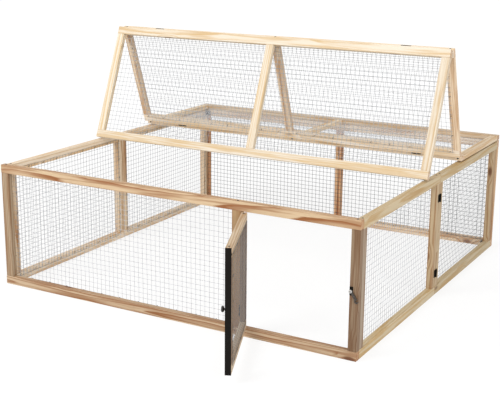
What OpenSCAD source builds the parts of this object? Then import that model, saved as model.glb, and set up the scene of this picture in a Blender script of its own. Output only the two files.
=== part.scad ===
// Outdoor run for rabbits: a square of hinged wooden frames with wire netting, a door in the
// front wall and a lid of three frames. Millimetres, Z up, X to the right and Y to the back.
// The origin is on the ground, in the middle of the underside of the front wall. The lid is
// drawn lifted and the door open. The side walls fold inwards at their middles, so the run
// packs flat.

/* [Overall size] */
// Width over the front wall.
run_width = 1500; // [1200:10:1800]
// Depth from the front face to the rear face.
run_depth = 1486; // [1180:2:1780]
// Height of the front and rear walls.
wall_height = 480; // [400:5:700]
// How much lower the side walls are, so they pass under the lid.
side_drop = 3; // [1:0.5:8]

/* [Timber] */
// Thickness of the wall frames.
wall_board = 25; // [20:1:35]
// Width of a rail or stile seen square on.
member_width = 32; // [26:1:50]
// Width of the post that carries the door.
door_post_width = 34; // [28:1:50]
// Left edge of that post, from the middle of the front wall.
door_post_left = 277; // [200:1:320]
// How far the stiles of a wall lie behind its rails.
stile_setback = 1.5; // [0.5:0.1:3]
// Gap between the end of a side frame and what it meets.
end_gap = 1; // [0.5:0.1:2]

/* [Lid] */
// Thickness of the lid frames.
lid_board = 20; // [16:1:28]
// Gap from the tops of the front and rear walls up to the closed lid.
lid_rest_gap = 3; // [2.5:0.5:6]
// How far the stiles of a lid frame lie under the faces of its rails.
lid_setback = 1; // [0.5:0.1:2]
// Depth of the rear frame, up to the pivot in front of it.
lid_rear_depth = 508; // [400:1:600]
// Distance between the pivots of the middle frame.
lid_middle_depth = 466; // [380:1:560]
// How far the front edge of the closed lid lies behind the front face.
lid_front_inset = 20; // [0:1:60]
// Angle that the front frame is folded under from flat, as drawn.
lid_fold = 138.5; // [120:0.5:150]
// Gap from the tops of the side walls up to the foot of the front frame, as drawn.
lid_foot_gap = 4.5; // [1:0.5:20]

/* [Door] */
// Thickness of the door frame.
door_board = 20; // [16:1:23]
// Gap above and below the door.
door_gap = 2; // [1:0.5:4]
// Gap between the door frame and the stile that it closes against.
door_free_gap = 4; // [3:0.5:8]
// Thickness of the dark strip along the free edge.
door_strip = 1.5; // [1:0.1:3]
// How far the door stands open as drawn.
door_open = 67; // [0:1:160]

/* [Knob and hook] */
// Height of the knob and of the pivot of the hook.
catch_height = 241; // [120:1:400]
// Distance from the knob to the free edge of the door frame.
knob_inset = 26.5; // [12:0.5:30]
// Radius of the knob.
knob_radius = 10; // [8:0.5:14]
// Radius of its neck.
knob_neck_radius = 3.5; // [2.5:0.5:5]
// Length of its neck, in which the hook takes hold.
knob_neck_length = 6; // [5.5:0.5:9]
// Thickness of the knob's head.
knob_head_thickness = 9; // [6:1:14]
// Thickness of the plate behind the hook.
hook_plate_thickness = 2; // [1:0.5:3]
// Width and height of that plate.
hook_plate_size = [12, 30]; // [10:1:40]
// Distance from the pivot of the hook to the edge of the stile beside the door.
hook_inset = 6.5; // [6:0.5:24]
// Thickness of the hook.
hook_thickness = 2.5; // [1.5:0.1:3]
// Radius of the pivot of the hook.
hook_pin_radius = 2.5; // [1.5:0.1:4]
// How far the pivot's head reaches past it all round.
hook_pin_head_lip = 3.5; // [1.5:0.1:4]
// Thickness of the pivot's head.
hook_pin_head_thickness = 5; // [1:0.1:8]
// Width of the bar of the hook.
hook_bar_width = 9; // [7:0.5:14]
// How far the hook's boss reaches past its bar on each side.
hook_boss_lip = 2; // [0:0.1:3]
// Radius of the eye at the end of the hook.
hook_eye_radius = 8; // [6.5:0.5:12]
// Gap between the plate, the hook and the pivot's head.
hook_play = 0.4; // [0.2:0.1:0.8]
// Gap around the pivot and around the knob's neck.
hook_clearance = 0.3; // [0.2:0.1:0.8]
// Angle that the hook hangs back from where it holds the knob.
hook_hang = 237; // [0:1:260]

/* [Hinges] */
// Distance from the face of a frame to the pivot of its hinge.
pivot_offset = 3; // [3:0.5:6]
// Radius of the knuckles.
knuckle_radius = 2.9; // [2:0.1:5]
// Radius of the hinge pins.
pin_radius = 1.2; // [0.8:0.1:2]
// Gap between a pin and its knuckle.
pin_clearance = 0.2; // [0.1:0.05:0.4]
// Gap between neighbouring knuckles.
knuckle_gap = 0.4; // [0.2:0.1:1]
// Thickness of a leaf.
leaf_thickness = 1.5; // [1:0.1:2]
// Reach of a leaf from its pivot.
leaf_reach = 15; // [10:1:25]
// Gap between a leaf and the other leaf's knuckle.
leaf_relief = 0.3; // [0.2:0.1:1]
// Half of the gap between two frames whose leaves lie between them.
edge_seat = 1.6; // [1.55:0.05:2.5]
// Height of the hinges in the corners.
corner_hinge_height = 22; // [16:1:24]
// Height of the hinges in the middle of the side walls.
middle_hinge_height = 30; // [20:1:60]
// Height of the lower ones above the ground.
middle_hinge_low = 88; // [60:1:150]
// Distance of the upper ones from the top of the side walls.
middle_hinge_drop = 90; // [60:1:150]
// Width of the hinges of the lid.
lid_hinge_width = 40; // [24:1:80]
// Distance of the lid's hinges from the middle.
lid_hinge_place = 560; // [300:10:680]
// Height of the door's hinges.
door_hinge_height = 40; // [24:1:80]
// Distance from the top or bottom of the door to the middle of a hinge.
door_hinge_inset = 60; // [40:1:120]

/* [Netting] */
// Thickness of the netting.
net_thickness = 2; // [1:0.1:2]
// Width of the strands of the nets of the front wall and the door.
strand_width = 2; // [1:0.1:4]
// Gaps of the front wall's net, across and up.
front_net_gaps = [24, 12]; // [4:1:24]
// Gaps of the door's net, across and up.
door_net_gaps = [8, 9]; // [4:1:16]
// How far the netting laps onto the frame that carries it.
net_lap = 12; // [6:1:18]
// How far it laps onto the outer stiles of the front and rear walls.
net_corner_lap = 5; // [2:0.5:6]
// How far it laps onto the rails of those walls, clear of the corner hinges.
net_rail_lap = 3; // [1:0.5:5]

/* [Screws] */
// Radius of a screw's head.
screw_head_radius = 4; // [3:0.5:5]
// Depth of a screw's head.
screw_head_depth = 2.5; // [2:0.5:4]
// Radius of a screw's shank.
screw_shank_radius = 2; // [1.5:0.1:2.5]
// Length of a screw.
screw_length = 50; // [40:1:70]
// Gap between a screw and its hole.
screw_clearance = 0.1; // [0.05:0.05:0.3]

/* [Hidden] */
$fn = 32;
half_width = run_width / 2;
front_face = -wall_board / 2;
rear_face = front_face + run_depth;
middle_y = (front_face + rear_face) / 2;
side_top = wall_height - side_drop;
front_inner = front_face + wall_board;
rear_inner = rear_face - wall_board;
stile_front = front_face + stile_setback;
rail_bottom = wall_height - member_width;
door_post_right = door_post_left + door_post_width;
opening_right = half_width - member_width;
lid_under = wall_height + lid_rest_gap;
lid_top = lid_under + lid_board;
// Pivot between the rear and the middle lid frame, on top.
valley = [0, rear_face - lid_rear_depth, lid_top + pivot_offset];
// Pivot between the middle and the front lid frame, underneath, with the lid shut.
ridge = [0, valley[1] - lid_middle_depth, lid_under - pivot_offset];
lid_front_edge = front_face + lid_front_inset;
lid_front_depth = ridge[1] - lid_front_edge;
// The foot of the front frame as seen from the valley, folded under before the lid is lifted.
foot = [ridge[1] - valley[1] - lid_front_depth * cos(lid_fold) - pivot_offset * sin(lid_fold),
        ridge[2] - valley[2] - lid_front_depth * sin(lid_fold) + pivot_offset * cos(lid_fold)];
// Slope of the middle frame that brings the foot just above the side walls.
lid_lift = atan2(foot[1], foot[0]) + 180
    + asin((side_top + lid_foot_gap - valley[2]) / norm(foot));
rear_pivot = [0, rear_face + pivot_offset, wall_height + lid_rest_gap / 2];
corner_x = half_width - wall_board - pivot_offset;
corner_front = front_inner + pivot_offset;
corner_rear = rear_inner - pivot_offset;
corner_levels = [pivot_offset + corner_hinge_height / 2,
                 side_top - pivot_offset - corner_hinge_height / 2];
middle_hinge_levels = [middle_hinge_low, side_top - middle_hinge_drop];
door_pivot = [door_post_right + edge_seat, stile_front - pivot_offset, 0];
door_left = door_pivot[0] + edge_seat;
door_right = opening_right - door_free_gap;
door_low = member_width + door_gap;
door_high = rail_bottom - door_gap;
knob_x = door_right - knob_inset;
hook_x = half_width - member_width + hook_inset;
hook_length = hook_x - knob_x;
hook_back = stile_front - hook_plate_thickness - hook_play;
wood = [0.74, 0.53, 0.34];
wire = [0.62, 0.63, 0.62];
black = [0.08, 0.08, 0.08];
steel = [0.75, 0.75, 0.76];

// A plain bar between two opposite corners.
module bar(from, to) {
    translate([min(from[0], to[0]), min(from[1], to[1]), min(from[2], to[2])])
        cube([abs(to[0] - from[0]), abs(to[1] - from[1]), abs(to[2] - from[2])]);
}

// A flat net in the XY plane with its outer strands along the edges.
module net(wide, high, gaps) {
    gap_w = (wide - strand_width) / gaps[0] - strand_width;
    gap_h = (high - strand_width) / gaps[1] - strand_width;
    difference() {
        cube([wide, high, net_thickness]);
        for (i = [0:gaps[0] - 1], j = [0:gaps[1] - 1])
            translate([strand_width + i * (gap_w + strand_width),
                       strand_width + j * (gap_h + strand_width), -net_thickness])
                cube([gap_w, gap_h, 3 * net_thickness]);
    }
}

// Netting drawn as a plain sheet in the XY plane.
module sheet(wide, high) {
    cube([wide, high, net_thickness]);
}

// A frame of reference at a point, with its X and Y directions given.
module placed(point, along, out) {
    third = cross(along, out);
    multmatrix([[along[0], out[0], third[0], point[0]],
                [along[1], out[1], third[1], point[1]],
                [along[2], out[2], third[2], point[2]],
                [0, 0, 0, 1]])
        children();
}

// The knuckle between two heights, with the piece that joins it to its leaf.
module knuckle(low, high, seat) {
    translate([0, 0, low])
        cylinder(r = knuckle_radius, h = high - low);
    translate([0, -seat, low])
        cube([knuckle_radius + 2 * leaf_relief, max(leaf_thickness, seat - leaf_thickness / 2),
              high - low]);
}

// One leaf of a hinge. Its pivot is the Z axis, the leaf lies along X, and the wood that it is
// screwed to begins at Y = -seat. The leaf with the pin has the two outer knuckles.
module leaf(height, seat, with_pin) {
    third = height / 6;
    start = knuckle_radius + leaf_relief;
    translate([start, -seat, -height / 2])
        cube([leaf_reach - start, leaf_thickness, height]);
    if (with_pin) {
        knuckle(-height / 2, -third - knuckle_gap / 2, seat);
        knuckle(third + knuckle_gap / 2, height / 2, seat);
        translate([0, 0, -height / 2])
            cylinder(r = pin_radius, h = height);
    } else {
        difference() {
            knuckle(-third + knuckle_gap / 2, third - knuckle_gap / 2, seat);
            translate([0, 0, -height / 2])
                cylinder(r = pin_radius + pin_clearance, h = height);
        }
    }
}

// A screw whose head is flush at the origin and whose shank runs down Z.
module screw(extra) {
    translate([0, 0, -screw_head_depth - extra])
        cylinder(r = screw_head_radius + extra, h = screw_head_depth + extra);
    translate([0, 0, -screw_length - extra])
        cylinder(r = screw_shank_radius + extra, h = screw_length - screw_head_depth + extra);
}

// Rails and stiles of a side frame between two places along Y; side is -1 left or 1 right.
module side_rails(side, from, to) {
    color(wood) {
        bar([side * (half_width - wall_board), from, 0], [side * half_width, to, member_width]);
        bar([side * (half_width - wall_board), from, side_top - member_width],
            [side * half_width, to, side_top]);
    }
}

module side_stiles(side, from, to) {
    color(wood)
        for (y = [from, to - member_width])
            bar([side * (half_width - wall_board), y, member_width],
                [side * (half_width - stile_setback), y + member_width, side_top - member_width]);
}

module side_net(side, from, to) {
    lap = member_width - net_lap;
    inner = side > 0 ? half_width - wall_board - net_thickness : -half_width + wall_board;
    color(wire)
        translate([inner, from + lap, lap])
            rotate([90, 0, 90])
                sheet(to - from - 2 * lap, side_top - 2 * lap);
}

// The four side frames.
module left_rear_rails() side_rails(-1, middle_y + end_gap, rear_inner - end_gap);
module left_rear_stiles() side_stiles(-1, middle_y + end_gap, rear_inner - end_gap);
module left_rear_net() side_net(-1, middle_y + end_gap, rear_inner - end_gap);
module left_front_rails() side_rails(-1, front_inner + end_gap, middle_y - end_gap);
module left_front_stiles() side_stiles(-1, front_inner + end_gap, middle_y - end_gap);
module left_front_net() side_net(-1, front_inner + end_gap, middle_y - end_gap);
module right_rear_rails() side_rails(1, middle_y + end_gap, rear_inner - end_gap);
module right_rear_stiles() side_stiles(1, middle_y + end_gap, rear_inner - end_gap);
module right_rear_net() side_net(1, middle_y + end_gap, rear_inner - end_gap);
module right_front_rails() side_rails(1, front_inner + end_gap, middle_y - end_gap);
module right_front_stiles() side_stiles(1, front_inner + end_gap, middle_y - end_gap);
module right_front_net() side_net(1, front_inner + end_gap, middle_y - end_gap);

// The rear wall: two rails over its whole width and three stiles between them.
module rear_rails() {
    color(wood) {
        bar([-half_width, rear_inner, 0], [half_width, rear_face, member_width]);
        bar([-half_width, rear_inner, rail_bottom], [half_width, rear_face, wall_height]);
    }
}

module rear_stiles() {
    color(wood)
        for (x = [-half_width, -member_width / 2, half_width - member_width])
            bar([x, rear_inner, member_width],
                [x + member_width, rear_face - stile_setback, rail_bottom]);
}

module rear_net() {
    wide = 2 * (half_width - member_width + net_corner_lap);
    low = member_width - net_rail_lap;
    color(wire)
        translate([-wide / 2, rear_inner, low])
            rotate([90, 0, 0])
                sheet(wide, wall_height - 2 * low);
}

// The front wall: the same, with a post for the door and the net left of it only.
module front_screw_places() {
    for (x = [-half_width + member_width / 2, door_post_left + door_post_width / 2,
              half_width - member_width / 2])
        translate([x, front_face + wall_board / 2, wall_height])
            children();
}

module front_top_rail() {
    color(wood)
        difference() {
            bar([-half_width, front_face, rail_bottom], [half_width, front_inner, wall_height]);
            front_screw_places() screw(screw_clearance);
        }
}

module front_bottom_rail() {
    color(wood)
        bar([-half_width, front_face, 0], [half_width, front_inner, member_width]);
}

module front_stile(left, wide) {
    color(wood)
        difference() {
            bar([left, stile_front, member_width], [left + wide, front_inner, rail_bottom]);
            front_screw_places() screw(screw_clearance);
        }
}

module front_left_stile() front_stile(-half_width, member_width);
module front_door_post() front_stile(door_post_left, door_post_width);
module front_right_stile() front_stile(half_width - member_width, member_width);

module front_net() {
    left = -half_width + member_width - net_corner_lap;
    low = member_width - net_rail_lap;
    color(wire)
        translate([left, front_inner + net_thickness, low])
            rotate([90, 0, 0])
                net(door_post_left + net_lap - left, wall_height - 2 * low, front_net_gaps);
}

module front_screws() color(steel) front_screw_places() screw(0);

// The door, drawn shut and then swung open on its pivot.
module door_swung() {
    translate(door_pivot)
        rotate([0, 0, -door_open])
            translate(-door_pivot)
                children();
}

module door_rails() {
    color(wood)
        door_swung() {
            bar([door_left, stile_front, door_low],
                [door_right, stile_front + door_board, door_low + member_width]);
            bar([door_left, stile_front, door_high - member_width],
                [door_right, stile_front + door_board, door_high]);
        }
}

module door_stiles() {
    color(wood)
        door_swung()
            for (x = [door_left, door_right - member_width])
                bar([x, stile_front + lid_setback, door_low + member_width],
                    [x + member_width, stile_front + door_board, door_high - member_width]);
}

module door_edge_strip() {
    color(black)
        door_swung()
            bar([door_right, stile_front, door_low],
                [door_right + door_strip, stile_front + door_board, door_high]);
}

module door_net() {
    lap = member_width - net_lap;
    color(wire)
        door_swung()
            translate([door_left + lap, stile_front + door_board + net_thickness, door_low + lap])
                rotate([90, 0, 0])
                    net(door_right - door_left - 2 * lap, door_high - door_low - 2 * lap,
                        door_net_gaps);
}

module door_knob() {
    color(black)
        door_swung()
            translate([knob_x, stile_front + lid_setback, catch_height])
                rotate([90, 0, 0]) {
                    cylinder(r = knob_neck_radius, h = knob_neck_length + lid_setback);
                    translate([0, 0, knob_neck_length + lid_setback])
                        cylinder(r1 = knob_radius * 0.75, r2 = knob_radius,
                                 h = knob_head_thickness / 3);
                    translate([0, 0, knob_neck_length + lid_setback + knob_head_thickness / 3])
                        cylinder(r = knob_radius, h = knob_head_thickness / 3);
                    translate([0, 0, knob_neck_length + lid_setback + knob_head_thickness * 2 / 3])
                        cylinder(r1 = knob_radius, r2 = knob_radius * 0.7,
                                 h = knob_head_thickness / 3);
                }
}

// The door's hinges: leaves between post and door, knuckles in front.
module door_hinge_levels() {
    for (z = [door_low + door_hinge_inset, door_high - door_hinge_inset])
        placed([door_pivot[0], door_pivot[1], z], [0, 1, 0], [1, 0, 0])
            children();
}

module door_hinges_on_post() {
    color(black)
        door_hinge_levels() leaf(door_hinge_height, edge_seat, true);
}

module door_hinges_on_door() {
    color(black)
        door_swung()
            for (z = [door_low + door_hinge_inset, door_high - door_hinge_inset])
                placed([door_pivot[0], door_pivot[1], z], [0, 1, 0], [-1, 0, 0])
                    leaf(door_hinge_height, edge_seat, false);
}

// The plate on the right stile, with the pivot of the hook and its head.
module latch_plate() {
    travel = hook_thickness + 2 * hook_play;
    color(black)
        translate([hook_x, stile_front, catch_height])
            rotate([90, 0, 0]) {
                translate([-hook_plate_size[0] / 2, -hook_plate_size[1] / 2, 0])
                    cube([hook_plate_size[0], hook_plate_size[1], hook_plate_thickness]);
                cylinder(r = hook_pin_radius, h = hook_plate_thickness + travel + hook_play);
                translate([0, 0, hook_plate_thickness + travel])
                    cylinder(r = hook_pin_radius + hook_pin_head_lip, h = hook_pin_head_thickness);
            }
}

// The hook, drawn where it holds the knob and then hung back.
module latch_hook() {
    color(steel)
        translate([hook_x, hook_back, catch_height])
            rotate([0, hook_hang, 0])
                rotate([90, 0, 0])
                    linear_extrude(hook_thickness)
                        difference() {
                            union() {
                                circle(r = hook_bar_width / 2 + hook_boss_lip);
                                translate([-hook_length, -hook_bar_width / 2])
                                    square([hook_length, hook_bar_width]);
                                translate([-hook_length, 0])
                                    circle(r = hook_eye_radius);
                            }
                            circle(r = hook_pin_radius + hook_clearance);
                            translate([-hook_length, 0])
                                circle(r = knob_neck_radius + hook_clearance);
                            translate([-hook_length - knob_neck_radius - hook_clearance,
                                       -2 * hook_eye_radius])
                                square([2 * (knob_neck_radius + hook_clearance),
                                        2 * hook_eye_radius]);
                        }
}

// The lid frames lie between two places along Y, drawn shut.
module lid_rails(from, to) {
    bar([-half_width, from, lid_under], [half_width, from + member_width, lid_top]);
    bar([-half_width, to - member_width, lid_under], [half_width, to, lid_top]);
}

module lid_stiles(from, to) {
    for (x = [-half_width, -member_width / 2, half_width - member_width])
        bar([x, from + member_width, lid_under],
            [x + member_width, to - member_width, lid_top - lid_setback]);
}

module lid_net(from, to) {
    lap = member_width - net_lap;
    translate([-half_width + lap, from + lap, lid_under - net_thickness])
        sheet(run_width - 2 * lap, to - from - 2 * lap);
}

// Screws through both rails of a lid frame into the ends of its three stiles.
module lid_screw_places(from, to) {
    for (x = [-half_width + member_width / 2, 0, half_width - member_width / 2]) {
        translate([x, from, lid_under + lid_board / 2])
            rotate([90, 0, 0])
                children();
        translate([x, to, lid_under + lid_board / 2])
            rotate([-90, 0, 0])
                children();
    }
}

module middle_lifted() {
    translate(valley)
        rotate([-lid_lift, 0, 0])
            translate(-valley)
                children();
}

module front_lifted() {
    middle_lifted()
        translate(ridge)
            rotate([lid_fold, 0, 0])
                translate(-ridge)
                    children();
}

module lid_rear_rails() color(wood) lid_rails(valley[1] + edge_seat, rear_face);
module lid_rear_stiles() color(wood) lid_stiles(valley[1] + edge_seat, rear_face);
module lid_rear_net() color(wire) lid_net(valley[1] + edge_seat, rear_face);

module lid_middle_rails() {
    color(wood)
        middle_lifted()
            difference() {
                lid_rails(ridge[1] + edge_seat, valley[1] - edge_seat);
                lid_screw_places(ridge[1] + edge_seat, valley[1] - edge_seat)
                    screw(screw_clearance);
            }
}

module lid_middle_stiles() {
    color(wood)
        middle_lifted()
            difference() {
                lid_stiles(ridge[1] + edge_seat, valley[1] - edge_seat);
                lid_screw_places(ridge[1] + edge_seat, valley[1] - edge_seat)
                    screw(screw_clearance);
            }
}

module lid_middle_net() {
    color(wire) middle_lifted() lid_net(ridge[1] + edge_seat, valley[1] - edge_seat);
}

module lid_middle_screws() {
    color(steel)
        middle_lifted()
            lid_screw_places(ridge[1] + edge_seat, valley[1] - edge_seat) screw(0);
}

module lid_front_rails() {
    color(wood)
        front_lifted()
            difference() {
                lid_rails(lid_front_edge, ridge[1] - edge_seat);
                lid_screw_places(lid_front_edge, ridge[1] - edge_seat) screw(screw_clearance);
            }
}

module lid_front_stiles() {
    color(wood)
        front_lifted()
            difference() {
                lid_stiles(lid_front_edge, ridge[1] - edge_seat);
                lid_screw_places(lid_front_edge, ridge[1] - edge_seat) screw(screw_clearance);
            }
}

module lid_front_net() color(wire) front_lifted() lid_net(lid_front_edge, ridge[1] - edge_seat);

module lid_front_screws() {
    color(steel)
        front_lifted()
            lid_screw_places(lid_front_edge, ridge[1] - edge_seat) screw(0);
}

// Corner hinges: side is -1 left or 1 right, end is -1 front or 1 rear.
module corner_on_wall(side, end) {
    color(black)
        for (z = corner_levels)
            placed([side * corner_x, end > 0 ? corner_rear : corner_front, z], [-side, 0, 0], [0, -end, 0])
                leaf(corner_hinge_height, pivot_offset, true);
}

module corner_on_side(side, end) {
    color(black)
        for (z = corner_levels)
            placed([side * corner_x, end > 0 ? corner_rear : corner_front, z], [0, -end, 0], [-side, 0, 0])
                leaf(corner_hinge_height, pivot_offset, false);
}

module rear_left_hinges_on_wall() corner_on_wall(-1, 1);
module rear_left_hinges_on_side() corner_on_side(-1, 1);
module rear_right_hinges_on_wall() corner_on_wall(1, 1);
module rear_right_hinges_on_side() corner_on_side(1, 1);
module front_left_hinges_on_wall() corner_on_wall(-1, -1);
module front_left_hinges_on_side() corner_on_side(-1, -1);
module front_right_hinges_on_wall() corner_on_wall(1, -1);
module front_right_hinges_on_side() corner_on_side(1, -1);

// Hinges on the outside in the middle of a side wall; end is 1 for the rear frame's leaf.
module middle_hinge(side, end) {
    color(black)
        for (z = middle_hinge_levels)
            placed([side * (half_width + pivot_offset), middle_y, z], [0, end, 0], [side, 0, 0])
                leaf(middle_hinge_height, pivot_offset + stile_setback, end > 0);
}

module middle_left_hinges_on_rear() middle_hinge(-1, 1);
module middle_left_hinges_on_front() middle_hinge(-1, -1);
module middle_right_hinges_on_rear() middle_hinge(1, 1);
module middle_right_hinges_on_front() middle_hinge(1, -1);

// A row of lid hinges on a pivot, with the directions of the leaf and away from its wood.
module lid_hinges(pivot, along, out, seat, with_pin) {
    for (x = [-lid_hinge_place, lid_hinge_place])
        placed([x, pivot[1], pivot[2]], along, out)
            leaf(lid_hinge_width, seat, with_pin);
}

module lid_hinges_on_wall() {
    color(black) lid_hinges(rear_pivot, [0, 0, -1], [0, 1, 0], pivot_offset, true);
}

module lid_hinges_on_rear() {
    color(black) lid_hinges(rear_pivot, [0, 0, 1], [0, 1, 0], pivot_offset, false);
}

module valley_hinges_on_rear() {
    color(black) lid_hinges(valley, [0, 0, -1], [0, -1, 0], edge_seat, true);
}

module valley_hinges_on_middle() {
    color(black) middle_lifted() lid_hinges(valley, [0, 0, -1], [0, 1, 0], edge_seat, false);
}

module ridge_hinges_on_middle() {
    color(black) middle_lifted() lid_hinges(ridge, [0, 0, 1], [0, -1, 0], edge_seat, true);
}

module ridge_hinges_on_front() {
    color(black) front_lifted() lid_hinges(ridge, [0, 0, 1], [0, 1, 0], edge_seat, false);
}

front_top_rail();
front_bottom_rail();
front_left_stile();
front_door_post();
front_right_stile();
front_net();
front_screws();
door_rails();
door_stiles();
door_edge_strip();
door_net();
door_knob();
door_hinges_on_post();
door_hinges_on_door();
latch_plate();
latch_hook();
rear_rails();
rear_stiles();
rear_net();
left_rear_rails();
left_rear_stiles();
left_rear_net();
left_front_rails();
left_front_stiles();
left_front_net();
right_rear_rails();
right_rear_stiles();
right_rear_net();
right_front_rails();
right_front_stiles();
right_front_net();
lid_rear_rails();
lid_rear_stiles();
lid_rear_net();
lid_middle_rails();
lid_middle_stiles();
lid_middle_net();
lid_middle_screws();
lid_front_rails();
lid_front_stiles();
lid_front_net();
lid_front_screws();
rear_left_hinges_on_wall();
rear_left_hinges_on_side();
rear_right_hinges_on_wall();
rear_right_hinges_on_side();
front_left_hinges_on_wall();
front_left_hinges_on_side();
front_right_hinges_on_wall();
front_right_hinges_on_side();
middle_left_hinges_on_rear();
middle_left_hinges_on_front();
middle_right_hinges_on_rear();
middle_right_hinges_on_front();
lid_hinges_on_wall();
lid_hinges_on_rear();
valley_hinges_on_rear();
valley_hinges_on_middle();
ridge_hinges_on_middle();
ridge_hinges_on_front();
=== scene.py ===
"""Folding outdoor run for rabbits: timber, netting, fittings and stage on the packed frame.

Lengths are in metres, with X to the right, Y to the back and Z up from the ground. The lid is
laid out shut and the door closed, and both are then turned to where they are drawn.
"""

import math
import random
from collections import defaultdict
from functools import cache

import bmesh
import bpy
from mathutils import Matrix, Vector


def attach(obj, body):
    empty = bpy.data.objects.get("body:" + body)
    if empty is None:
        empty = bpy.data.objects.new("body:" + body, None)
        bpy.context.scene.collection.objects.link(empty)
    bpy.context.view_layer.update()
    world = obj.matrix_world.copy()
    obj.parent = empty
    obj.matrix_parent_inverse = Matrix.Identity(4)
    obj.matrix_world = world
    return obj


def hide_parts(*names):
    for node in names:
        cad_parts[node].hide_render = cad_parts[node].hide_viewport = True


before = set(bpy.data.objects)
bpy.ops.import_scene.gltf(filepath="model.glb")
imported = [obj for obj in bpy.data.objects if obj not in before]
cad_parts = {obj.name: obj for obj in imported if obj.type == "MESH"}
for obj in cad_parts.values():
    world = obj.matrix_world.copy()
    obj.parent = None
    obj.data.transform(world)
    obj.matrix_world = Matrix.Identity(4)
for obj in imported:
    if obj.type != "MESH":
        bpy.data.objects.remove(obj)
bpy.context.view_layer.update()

bl_info = {
    "name": "Rabbit Run",
    "version": (1, 0, 0),
    "blender": (4, 5, 0),
    "location": "View3D > Sidebar > Rabbit Run",
    "description": "Makes the timber, netting and fittings of a folding rabbit run",
    "category": "Object",
}

# ---- sizes of the frames

WIDTH, DEPTH, HEIGHT = 1.5, 1.486, 0.48
# How much lower the side walls are, and the gap at each end of a side frame.
SIDE_DROP, END_GAP = 0.003, 0.001
# Thickness of a wall, width of a rail or stile, and how far stiles lie behind their rails.
BOARD, MEMBER, SETBACK = 0.025, 0.032, 0.0015
# The post that carries the door.
POST_LEFT, POST_WIDE = 0.277, 0.034
# Thickness of the lid, how far its stiles and the door's lie behind their rails, and the gap
# between the lid and the walls.
LID_BOARD, LID_SETBACK, LID_GAP = 0.020, 0.001, 0.003
# Depths of the rear and the middle lid frame, and how far the shut lid's front lies back.
LID_REAR_DEEP, LID_MIDDLE_DEEP, LID_INSET = 0.508, 0.466, 0.020
# How far the front lid frame is folded under, and the gap from its foot to the side walls.
LID_FOLD, FOOT_GAP = math.radians(138.5), 0.0045
# Thickness of the door, its gaps above and below and at its free edge, and the strip there.
DOOR_BOARD, DOOR_GAP, DOOR_FREE_GAP, STRIP = 0.020, 0.002, 0.004, 0.0015
DOOR_OPEN = math.radians(67)

# ---- sizes of the fittings

# Distance of a hinge's pin from its frame, and half of the gap between two hinged frames.
PIVOT, SEAT = 0.003, 0.0016
# Middles of the hinges: in the corners from the walls' ends, in the side walls from the ground
# and from the top, and at the lid's rear edge from the middle.
CORNER_HINGE, FOLD_HINGE_LOW, FOLD_HINGE_DROP, LID_HINGE = 0.014, 0.088, 0.090, 0.56
# Thickness of a leaf, and the distance of its screws from the pin.
LEAF, LEAF_REACH = 0.0015, 0.0098
# Half of the distance between the two screws of a leaf, in the same three places.
CORNER_APART, FOLD_APART, LID_APART = 0.006, 0.0085, 0.012
# Height of the knob and the hook, and their distances from the door's and the stile's edges.
CATCH, KNOB_INSET, HOOK_INSET = 0.241, 0.0265, 0.0065
# The plate behind the hook, and half of the distance between its screws.
PLATE, PLATE_WIDE, PLATE_HIGH, PLATE_APART = 0.002, 0.012, 0.030, 0.0105
# Where the screw sits that holds the strip, from the door's free edge and from its top.
STRIP_SCREW_INSET, STRIP_SCREW_DROP = 0.006, 0.022
METAL_EASE = 0.0004
# How far a net laps onto its frame, onto the outer stiles and onto the rails of the walls.
NET_LAP, NET_CORNER_LAP, NET_RAIL_LAP = 0.012, 0.005, 0.003
# Distance of the staples from a net's edge, also where its lap is narrow.
STAPLE_INSET, NARROW_INSET = 0.006, 0.0015

# ---- places worked out from them

HALF = WIDTH / 2
FRONT = -BOARD / 2
REAR = FRONT + DEPTH
FRONT_INNER, REAR_INNER = FRONT + BOARD, REAR - BOARD
MIDDLE = (FRONT + REAR) / 2
SIDE_TOP = HEIGHT - SIDE_DROP
RAIL_LOW = HEIGHT - MEMBER
STILE_FRONT = FRONT + SETBACK
STILES = (-HALF, -MEMBER / 2, HALF - MEMBER)
LID_UNDER = HEIGHT + LID_GAP
LID_TOP = LID_UNDER + LID_BOARD
LID_EDGE = FRONT + LID_INSET
VALLEY = Vector((0, REAR - LID_REAR_DEEP, LID_TOP + PIVOT))
RIDGE = Vector((0, VALLEY.y - LID_MIDDLE_DEEP, LID_UNDER - PIVOT))
DOOR_PIVOT = Vector((POST_LEFT + POST_WIDE + SEAT, STILE_FRONT - PIVOT, 0))
DOOR_LEFT = DOOR_PIVOT.x + SEAT
DOOR_RIGHT = HALF - MEMBER - DOOR_FREE_GAP
DOOR_BACK = STILE_FRONT + DOOR_BOARD
DOOR_LOW, DOOR_HIGH = MEMBER + DOOR_GAP, RAIL_LOW - DOOR_GAP
KNOB_X = DOOR_RIGHT - KNOB_INSET
HOOK_X = HALF - MEMBER + HOOK_INSET
UP = (0, 0, 1)


def lid_lift():
    """Slope of the middle lid frame that brings the foot just above the side walls."""
    deep = RIDGE.y - LID_EDGE
    c, s = math.cos(LID_FOLD), math.sin(LID_FOLD)
    y = RIDGE.y - VALLEY.y - deep * c - PIVOT * s
    z = RIDGE.z - VALLEY.z - deep * s + PIVOT * c
    drop = SIDE_TOP + FOOT_GAP - VALLEY.z
    return math.atan2(z, y) + math.pi + math.asin(drop / math.hypot(y, z))


def turned(point, angle, axis):
    """Turns about an axis through a point."""
    return (
        Matrix.Translation(point) @ Matrix.Rotation(angle, 4, axis) @ Matrix.Translation(-point)
    )


def placed(place, at, way):
    """A point and its direction, brought to their place."""
    return place @ Vector(at), place.to_3x3() @ Vector(way)


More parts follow.
